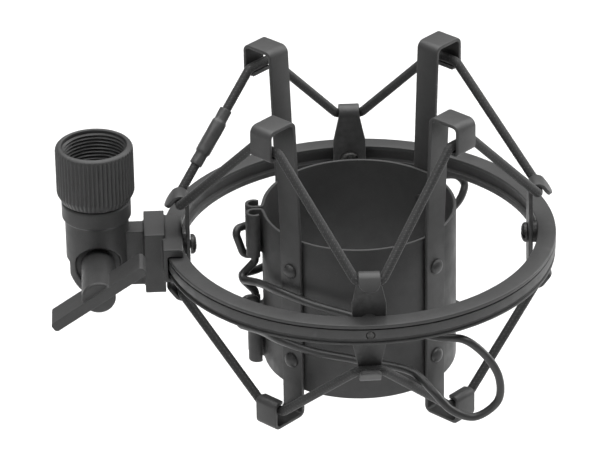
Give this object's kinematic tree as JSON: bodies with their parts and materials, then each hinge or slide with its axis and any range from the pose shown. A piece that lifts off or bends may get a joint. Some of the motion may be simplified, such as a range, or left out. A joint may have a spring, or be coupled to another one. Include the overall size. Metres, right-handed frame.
{
  "type": "microphone suspension mount",
  "caption": "Spider suspension mount: a spring basket for a large microphone hung on braided elastic inside a ring, with wire squeeze handles and a tilting stand adapter.",
  "frame": {"origin": "centre of the stand thread's mouth, on the collar's end face", "axes": "+Z out of the thread's mouth, towards the stand and along the microphone; +X from the stand thread to the basket; the clamp handle is on -Y"},
  "size_m": [0.1259, 0.0982, 0.083],
  "materials": {
    "collar": "satin black paint over a straight knurl",
    "paint": "satin charcoal paint over cast metal",
    "handle_paint": "satin charcoal paint",
    "ring_paint": "satin charcoal paint over a grooved section",
    "hook_paint": "satin charcoal paint over pressed strip",
    "shell_paint": "satin charcoal paint over spring steel sheet",
    "strap_paint": "satin charcoal paint over pressed strip",
    "wire": "semi-gloss black paint over round wire",
    "rivet": "semi-gloss black paint",
    "blacked_steel": "black oxide steel",
    "cord": "braided elastic cord, black with pale flecks",
    "sleeve": "black shrink tube"
  },
  "bodies": {
    "collar": {"knurled_collar": "collar"},
    "post": {"swivel_post": "paint", "retaining_screw": "blacked_steel"},
    "clamp": {"clamp_screw": "handle_paint"},
    "ring": {"ring_bracket": "paint", "outer_ring": "ring_paint", "ring_hook_left": "hook_paint", "ring_hook_right": "hook_paint", "ring_hook_front": "hook_paint", "ring_hook_rear": "hook_paint", "hook_screw_left": "blacked_steel", "hook_screw_right": "blacked_steel", "hook_screw_front": "blacked_steel", "hook_screw_rear": "blacked_steel", "upper_elastic": "cord", "upper_sleeve": "sleeve", "lower_elastic": "cord", "lower_sleeve": "sleeve"},
    "cage": {"basket_shell": "shell_paint", "strap_front_left": "strap_paint", "strap_front_right": "strap_paint", "strap_rear_left": "strap_paint", "strap_rear_right": "strap_paint", "rivet_upper_front_left": "rivet", "rivet_upper_front_right": "rivet", "rivet_upper_rear_left": "rivet", "rivet_upper_rear_right": "rivet", "rivet_lower_front_left": "rivet", "rivet_lower_front_right": "rivet", "rivet_lower_rear_left": "rivet", "rivet_lower_rear_right": "rivet"},
    "front_handle": {"front_handle": "wire"},
    "rear_handle": {"rear_handle": "wire"}
  },
  "joints": [
    {"name": "post_turn", "type": "hinge", "parent": "collar", "child": "post", "pos_m": [0, 0, 0], "axis": [0, 0, 1], "continuous": true},
    {"name": "ring_tilt", "type": "hinge", "parent": "post", "child": "ring", "pos_m": [0, 0, -0.0307], "axis": [0, 1, 0], "range_deg": [0, 90]},
    {"name": "clamp_turn", "type": "hinge", "parent": "post", "child": "clamp", "pos_m": [0, 0, -0.0307], "axis": [0, 1, 0], "continuous": true},
    {"name": "cage_bounce", "type": "slide", "parent": "ring", "child": "cage", "axis": [0, 0, 1], "range_m": [-0.004, 0.002], "stiffness_N_per_m": 2500, "deforming": ["upper_elastic", "upper_sleeve", "lower_elastic", "lower_sleeve"]},
    {"name": "front_handle_swing", "type": "hinge", "parent": "cage", "child": "front_handle", "pos_m": [0.0389, -0.00235, -0.0385], "axis": [0, 0, -1], "range_deg": [-2, 6]},
    {"name": "rear_handle_swing", "type": "hinge", "parent": "cage", "child": "rear_handle", "pos_m": [0.0389, 0.00235, -0.0385], "axis": [0, 0, 1], "range_deg": [0, 6]}
  ]
}
